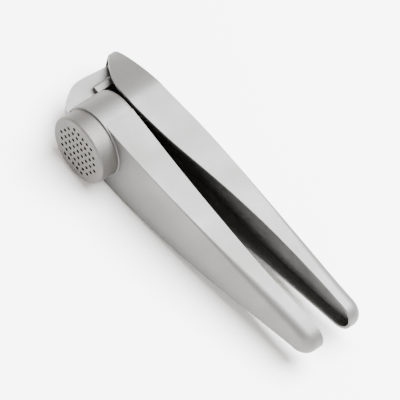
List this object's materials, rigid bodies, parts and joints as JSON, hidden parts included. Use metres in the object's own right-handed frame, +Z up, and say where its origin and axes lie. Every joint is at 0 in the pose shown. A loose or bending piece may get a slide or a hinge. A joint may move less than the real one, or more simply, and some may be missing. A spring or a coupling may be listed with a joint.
{
  "type": "garlic press",
  "caption": "Hand press with two hinged handles that pushes garlic through a round sieve basket.",
  "frame": {"origin": "middle of the sieve's outer face, on the barrel's axis", "axes": "+X from the hinge end to the handle tips, +Y up the barrel from the sieve to the upper handle, +Z along the hinge pin; the press lies on its side, so +Z is up"},
  "size_m": [0.1615, 0.0546, 0.0344],
  "materials": {
    "handle_casting": "bead-blasted satin",
    "basket_casting": "bead-blasted satin",
    "plunger_casting": "as cast, matt",
    "pin_steel": "ground"
  },
  "bodies": {
    "lower_body": {"lower_handle": "handle_casting", "press_basket": "basket_casting"},
    "upper_body": {"upper_handle": "handle_casting", "hinge_pin": "pin_steel", "plunger_pin": "pin_steel"},
    "plunger_body": {"plunger": "plunger_casting"}
  },
  "joints": [
    {"name": "handle_hinge", "type": "hinge", "parent": "lower_body", "child": "upper_body", "pos_m": [-0.0232, 0.0388, 0], "axis": [0, 0, 1], "range_deg": [-3.3, 58]},
    {"name": "plunger_swing", "type": "hinge", "parent": "upper_body", "child": "plunger_body", "pos_m": [-0.0004, 0.0312, 0], "axis": [0, 0, 1], "range_deg": [-60, 4]}
  ],
  "couplings": [
    {"joint": "plunger_swing", "follows": "handle_hinge", "ratio": -1}
  ]
}
